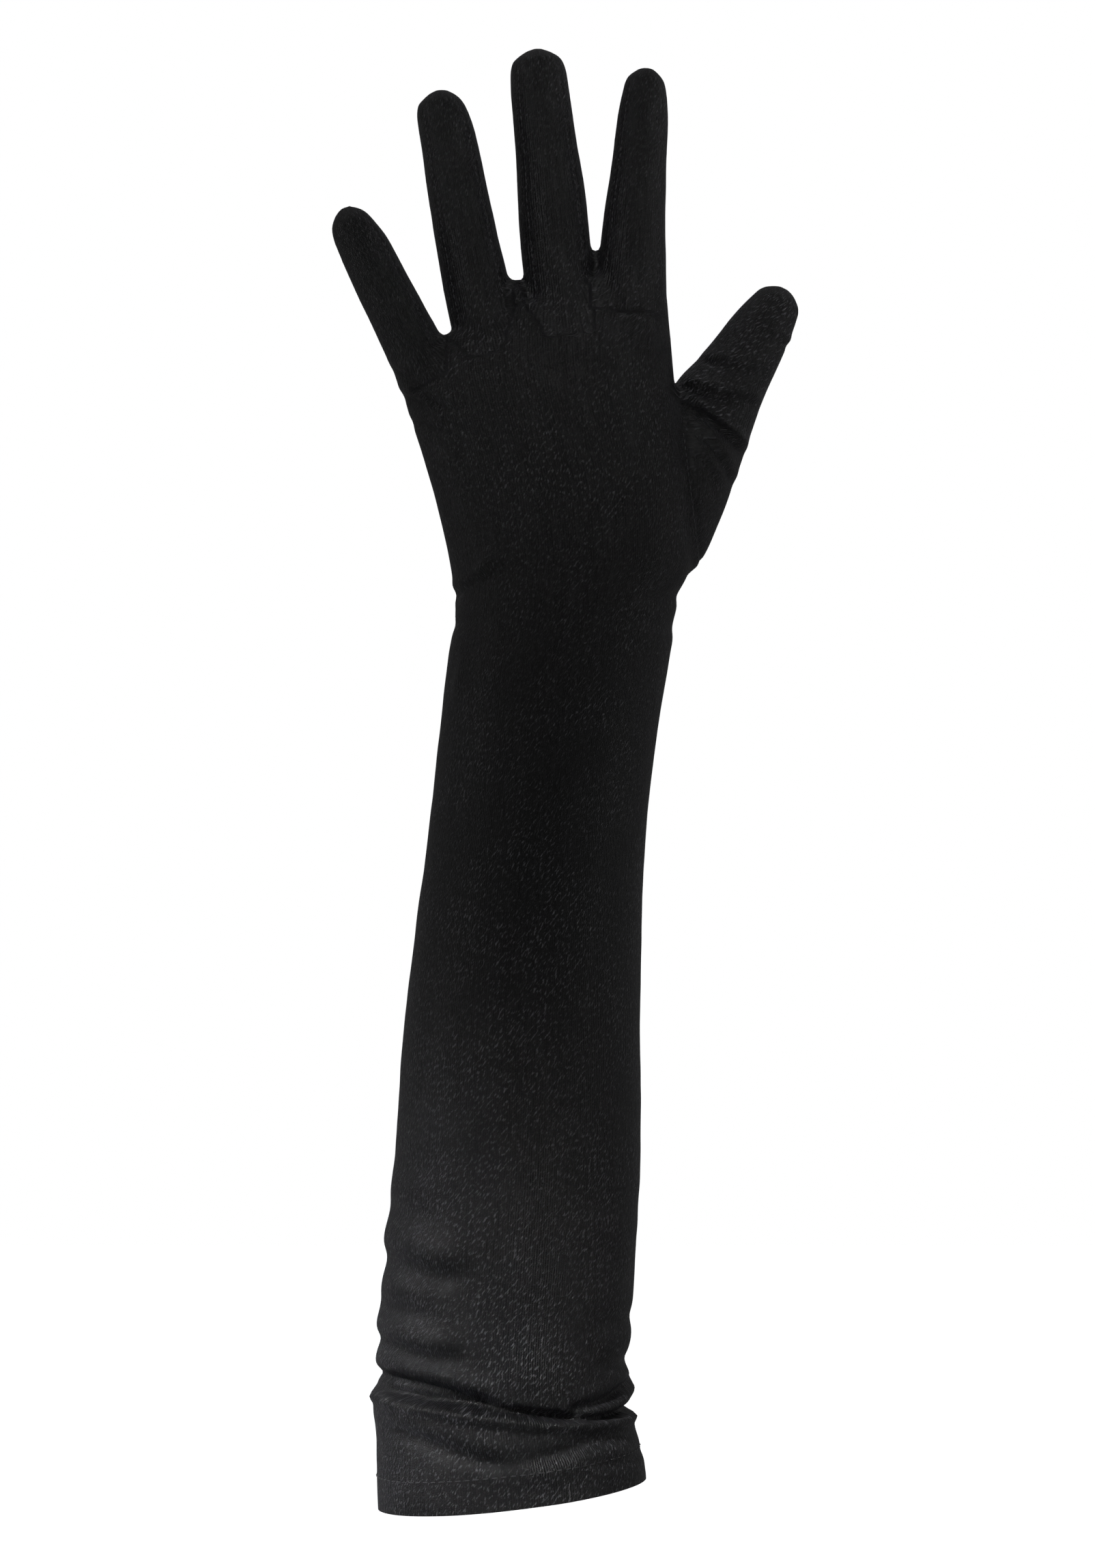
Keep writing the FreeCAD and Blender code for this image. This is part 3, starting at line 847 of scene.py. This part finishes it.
def seam_allowance(surface, name, low, high):
    """The two turned edges of the side seam, inside the little-finger side of the trunk."""
    left, right, _ = trunk_sections()
    height = (left[:, 1] + right[:, 1]) / 2
    strips = []
    for sign in (-1, 1):
        rows = []
        for z in np.arange(low, high, 2.0):
            x = float(np.interp(z, height, (left[:, 0] + right[:, 0]) / 2))
            row = [surface.outward((x, sign * y, z), (-1.0, 0, 0)) for y in (0.25, 1.4, 2.6, 3.8)]
            if None not in row:
                rows.append(row if sign > 0 else row[::-1])
        strips.append(ribbon(rows, 0.45))
    return joined_object(name, strips)


# ---------------- materials
def nodes_of(name):
    """A new material, its node tree and its Principled shader."""
    material = bpy.data.materials.new(name)
    material.use_nodes = True
    tree = material.node_tree
    return material, tree, tree.nodes["Principled BSDF"]


def node(tree, kind, **inputs):
    """A node with its inputs linked or set, by name, or by number as _0, _1 and so on."""
    made = tree.nodes.new(kind)
    for key, value in inputs.items():
        target = made.inputs[int(key[1:]) if key.startswith("_") else key]
        if isinstance(value, bpy.types.NodeSocket):
            tree.links.new(value, target)
        else:
            target.default_value = value
    return made


def math_node(tree, operation, a, b=0.0, c=0.0):
    made = node(tree, "ShaderNodeMath", _0=a, _1=b, _2=c)
    made.operation = operation
    return made.outputs[0]


def mix_colour(tree, factor, dark, light):
    made = tree.nodes.new("ShaderNodeMix")
    made.data_type = "RGBA"
    tree.links.new(factor, made.inputs[0])
    shades = [socket for socket in made.inputs if socket.type == "RGBA"]
    shades[0].default_value, shades[1].default_value = (*dark, 1), (*light, 1)
    return [socket for socket in made.outputs if socket.type == "RGBA"][0]


def stretched_noise(tree, across, along, across_scale, along_scale, detail, slant=0.0):
    """Noise in the cloth's own coordinates, drawn out along the wales, and tilted if slant isn't 0."""
    x = math_node(tree, "MULTIPLY", across, across_scale)
    y = math_node(tree, "MULTIPLY", along, along_scale)
    y = math_node(tree, "MULTIPLY_ADD", x, slant, y)
    place = node(tree, "ShaderNodeCombineXYZ", X=x, Y=y)
    made = node(tree, "ShaderNodeTexNoise", Vector=place.outputs[0], Scale=1.0, Detail=detail, Roughness=0.6)
    return made.outputs[0]


def ramp(tree, value, low, high, to_low=0.0, to_high=1.0):
    """The value carried from low..high to to_low..to_high, and held level outside."""
    made = node(tree, "ShaderNodeMapRange", Value=value)
    for name, number in (("From Min", low), ("From Max", high), ("To Min", to_low), ("To Max", to_high)):
        made.inputs[name].default_value = number
    return made.outputs[0]


def satin():
    """Stretch satin: fine ribs along the sleeve, and short slanting glints painted into the base colour,
    their painted shine uneven in slubby patches.
    """
    # light is the colour of the painted glints at their brightest; dark is the cloth's own black.
    dark, light, rough = (0.0006, 0.0007, 0.0006), (0.150, 0.149, 0.161), 0.50
    material, tree, shader = nodes_of("black_satin")
    uv = tree.nodes.new("ShaderNodeUVMap")
    uv.uv_map = "cloth"
    split = node(tree, "ShaderNodeSeparateXYZ", Vector=uv.outputs["UV"])
    across, along = split.outputs["X"], split.outputs["Y"]
    ribs = math_node(tree, "SINE", math_node(tree, "MULTIPLY", across, 2 * math.pi))
    wales = stretched_noise(tree, across, along, 1.0, 0.16, 2.0)
    bands = stretched_noise(tree, across, along, 0.13, 0.02, 2.0)
    # Slanting specks that make the painted glints in the base colour.
    glint_noise = stretched_noise(tree, across, along, 0.75, 0.95, 1.0, -1.15)
    grain = stretched_noise(tree, across, along, 1.9, 2.3, 0.0)
    painted_glint = math_node(tree, "POWER", ramp(tree, glint_noise, 0.54, 0.72), 1.5)
    # Painted glints are made brighter on the sleeve and the thumb than on the hand and the fingers.
    painted_glint_strength = ramp(tree, along, 300.0, 180.0, 0.45, 0.95)
    patches = ramp(tree, stretched_noise(tree, across, along, 0.035, 0.035, 1.0), 0.36, 0.64, 0.45, 1.35)
    glints_and_knit_tone = math_node(tree, "MULTIPLY", painted_glint, math_node(tree, "MULTIPLY", painted_glint_strength, patches))
    glints_and_knit_tone = math_node(tree, "MULTIPLY_ADD", ramp(tree, wales, 0.38, 0.70), 0.045, glints_and_knit_tone)
    glints_and_knit_tone = math_node(tree, "MULTIPLY_ADD", ramp(tree, grain, 0.40, 0.72), 0.05, glints_and_knit_tone)
    glints_and_knit_tone = math_node(tree, "MULTIPLY_ADD", ramp(tree, bands, 0.35, 0.7), 0.02, glints_and_knit_tone)
    glints_and_knit_tone = math_node(tree, "MULTIPLY_ADD", ribs, 0.012, glints_and_knit_tone)
    # The base colour holds the painted glints over the knit's own colour of wales, grain, bands and ribs.
    tree.links.new(mix_colour(tree, glints_and_knit_tone, dark, light), shader.inputs["Base Color"])
    roughness = math_node(tree, "MULTIPLY_ADD", glints_and_knit_tone, -0.30, rough)
    tree.links.new(roughness, shader.inputs["Roughness"])
    height = math_node(tree, "MULTIPLY_ADD", wales, 1.6, math_node(tree, "MULTIPLY", ribs, 0.25))
    height = math_node(tree, "MULTIPLY_ADD", painted_glint, 0.8, height)
    height = math_node(tree, "MULTIPLY_ADD", grain, 0.6, height)
    bump = node(tree, "ShaderNodeBump", Height=height, Strength=0.9, Distance=0.00030)
    tree.links.new(bump.outputs[0], shader.inputs["Normal"])
    shader.inputs["Specular IOR Level"].default_value = 0.35
    shader.inputs["Sheen Weight"].default_value = 0.05
    shader.inputs["Sheen Roughness"].default_value = 0.45
    shader.inputs["Sheen Tint"].default_value = (0.80, 0.78, 0.90, 1)
    return material


def thread_material():
    """Twisted polyester thread, a little shinier than the cloth."""
    material, tree, shader = nodes_of("black_thread")
    place = tree.nodes.new("ShaderNodeTexCoord").outputs["Object"]
    twist = node(tree, "ShaderNodeTexWave", Vector=place, Scale=2600.0, Distortion=1.5)
    twist.bands_direction = "DIAGONAL"
    tree.links.new(mix_colour(tree, twist.outputs["Fac"], (0.022, 0.022, 0.024), (0.095, 0.093, 0.100)),
                   shader.inputs["Base Color"])
    bump = node(tree, "ShaderNodeBump", Height=twist.outputs["Fac"], Strength=0.5, Distance=0.00006)
    tree.links.new(bump.outputs[0], shader.inputs["Normal"])
    shader.inputs["Roughness"].default_value = 0.42
    shader.inputs["Sheen Weight"].default_value = 0.1
    return material


def dress(obj, material):
    obj.data.materials.clear()
    obj.data.materials.append(material)


# ---------------- baking each piece's placing, and hiding the CAD solids that it stands for
def metres(point):
    return tuple(float(c) * MM for c in point)


def blend_wrist(obj):
    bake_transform(obj)


def blend_knuckles(obj):
    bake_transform(obj)


def blend_finger(obj, name, zone):
    """Bakes a piece's placing into its mesh; it works out the finger's joint and reach, and uses neither."""
    digit = digits[name]
    lower, joint = ("knuckles", digit.mid) if zone == "mid" else (f"{name}_mid", digit.end)
    reach = BEND_REACH[zone]
    metres(digit.at(joint + reach))
    metres(digit.at(joint - reach))
    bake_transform(obj)


def attach(pieces):
    """Each piece's placing is baked into its mesh, and the CAD solids that it stands for are hidden."""
    blend_wrist(pieces["sleeve_and_hand"])
    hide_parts("sleeve_trank", "hand_trank", "thumb_gusset")
    blend_knuckles(pieces["knuckle_trank"])
    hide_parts("knuckle_trank", *[f + "_base_trank" for f in FINGERS])
    for name in FINGERS[:-1]:
        web = web_name(name, 1)
        blend_knuckles(pieces[web])
        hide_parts(web)
    for name in FINGERS:
        for zone in ("mid", "tip"):
            for kind in ("trank", "fourchette"):
                part = f"{name}_{zone}_{kind}"
                blend_finger(pieces[part], name, zone)
                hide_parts(part)
    thumb = digits["thumb"]
    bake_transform(pieces["thumb_base"])
    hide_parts("thumb_base")
    reach = BEND_REACH["tip"] + 2.0
    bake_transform(pieces["thumb_tip"], "thumb", "thumb_tip", metres(thumb.at(thumb.end + reach)),
             metres(thumb.at(thumb.end - reach)))
    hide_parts("thumb_tip")


# ---------------- stage
def area_light(name, at, look, size, energy, spread=180):
    data = bpy.data.lights.new(name, "AREA")
    data.shape = "RECTANGLE"
    data.size, data.size_y = size
    data.energy = energy
    data.spread = math.radians(spread)
    lamp = placed(name, data)
    lamp.location = at
    lamp.rotation_mode = "QUATERNION"
    lamp.rotation_quaternion = (Vector(look) - Vector(at)).to_track_quat("-Z", "Y")


def lights():
    """Soft boxes at both sides and above, and small keys that rake the sleeve and the hand."""
    middle = (0.012, 0, 0.22)
    area_light("left_box", (-1.1, 0.25, 0.25), middle, (0.6, 1.3), 0.75)
    area_light("right_box", (1.1, 0.25, 0.30), middle, (0.6, 1.3), 0.72)
    area_light("low_front", (0.0, -1.3, -0.20), (0, 0, 0.04), (1.6, 0.32), 0.84)
    area_light("sleeve_key", (-0.45, -0.80, 0.62), (-0.01, 0, -0.02), (0.14, 0.10), 0.088, spread=15)
    area_light("hand_key", (0.25, -0.95, 0.80), (0.015, 0, 0.42), (0.2, 0.15), 0.030, spread=18)
    area_light("top_box", (0.0, 0.1, 1.3), middle, (0.7, 0.7), 0.8)


def pale_floor():
    half, below = 6.0, -0.5
    corners = [(-half, -half, below), (half, -half, below), (half, half, below), (-half, half, below)]
    floor = placed("floor", new_mesh("floor", corners, [(0, 1, 2, 3)]))
    material, _, shader = nodes_of("pale_floor")
    shader.inputs["Base Color"].default_value = (0.9, 0.9, 0.9, 1)
    shader.inputs["Roughness"].default_value = 0.9
    shader.inputs["Emission Color"].default_value = (1, 1, 1, 1)
    shader.inputs["Emission Strength"].default_value = 1.0
    floor.data.materials.append(material)
    floor.visible_diffuse = False
    floor.visible_glossy = False


def white_surroundings():
    """White to the camera, and a faint even light to everything else."""
    world = bpy.data.worlds.new("studio")
    bpy.context.scene.world = world
    world.use_nodes = True
    tree = world.node_tree
    out, back = tree.nodes["World Output"], tree.nodes["Background"]
    seen = tree.nodes.new("ShaderNodeBackground")
    for shade, strength in ((seen, 1.0), (back, 0.120)):
        shade.inputs["Color"].default_value = (1, 1, 1, 1)
        shade.inputs["Strength"].default_value = strength
    path = tree.nodes.new("ShaderNodeLightPath")
    mix = tree.nodes.new("ShaderNodeMixShader")
    tree.links.new(path.outputs["Is Camera Ray"], mix.inputs[0])
    tree.links.new(back.outputs[0], mix.inputs[1])
    tree.links.new(seen.outputs[0], mix.inputs[2])
    tree.links.new(mix.outputs[0], out.inputs["Surface"])


def front_camera():
    """Level with the middle of the glove, square to the back of the hand."""
    distance, seen_height = 1.5, 0.4943
    data = bpy.data.cameras.new("camera")
    data.sensor_width = 36
    data.lens = data.sensor_width * distance / seen_height
    camera = placed("camera", data)
    camera.location = (0.01216, -distance, 0.2282)
    camera.rotation_euler = (math.pi / 2, 0, 0)
    bpy.context.scene.camera = camera


def studio():
    pale_floor()
    white_surroundings()
    lights()
    front_camera()
    bpy.context.scene.view_settings.view_transform = "Standard"


# ---------------- build
def sew(skin, cloth, thread):
    """Threads, turned hem and seam allowances; the hem's parts and the seam allowances are parented to the
    sleeve's and the hand's bodies.
    """
    surface = Surface(skin)
    for name, parts in finger_stitches(surface).items():
        obj = joined_object(name, parts)
        dress(obj, thread)
        if name == "knuckle_stitches":
            blend_knuckles(obj)
        else:
            blend_finger(obj, *name.split("_")[:2])
    obj = joined_object("thumb_stitches", stitches_along(thumb_seam_path(surface)))
    dress(obj, thread)
    blend_wrist(obj)
    hem = ring_path(surface, np.array(HEM_AT) + HEM_UP * (HEM_DEPTH - 1.5), HEM_UP)
    obj = joined_object("hem_stitches", stitches_along(hem, 2.9, 1.7, 0.36))
    dress(obj, thread)
    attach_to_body(obj, "sleeve")
    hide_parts("hem_stitching")
    turnup = hem_turnup(skin)
    dress(turnup, cloth)
    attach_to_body(turnup, "sleeve")
    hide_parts("hem_turnup")
    for body, low, high in (("sleeve", HEM_DEPTH + 6.0, 256.0), ("hand", 304.0, 326.0)):
        name = body + "_seam_allowance"
        obj = seam_allowance(surface, name + "_cloth", low, high)
        dress(obj, cloth)
        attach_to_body(obj, body)
        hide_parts(name)


skin = cut_skin(creased(merged_form()))
pieces = shells(skin)
cloth, thread = satin(), thread_material()
for obj in pieces.values():
    dress(obj, cloth)
attach(pieces)
sew(skin, cloth, thread)
studio()
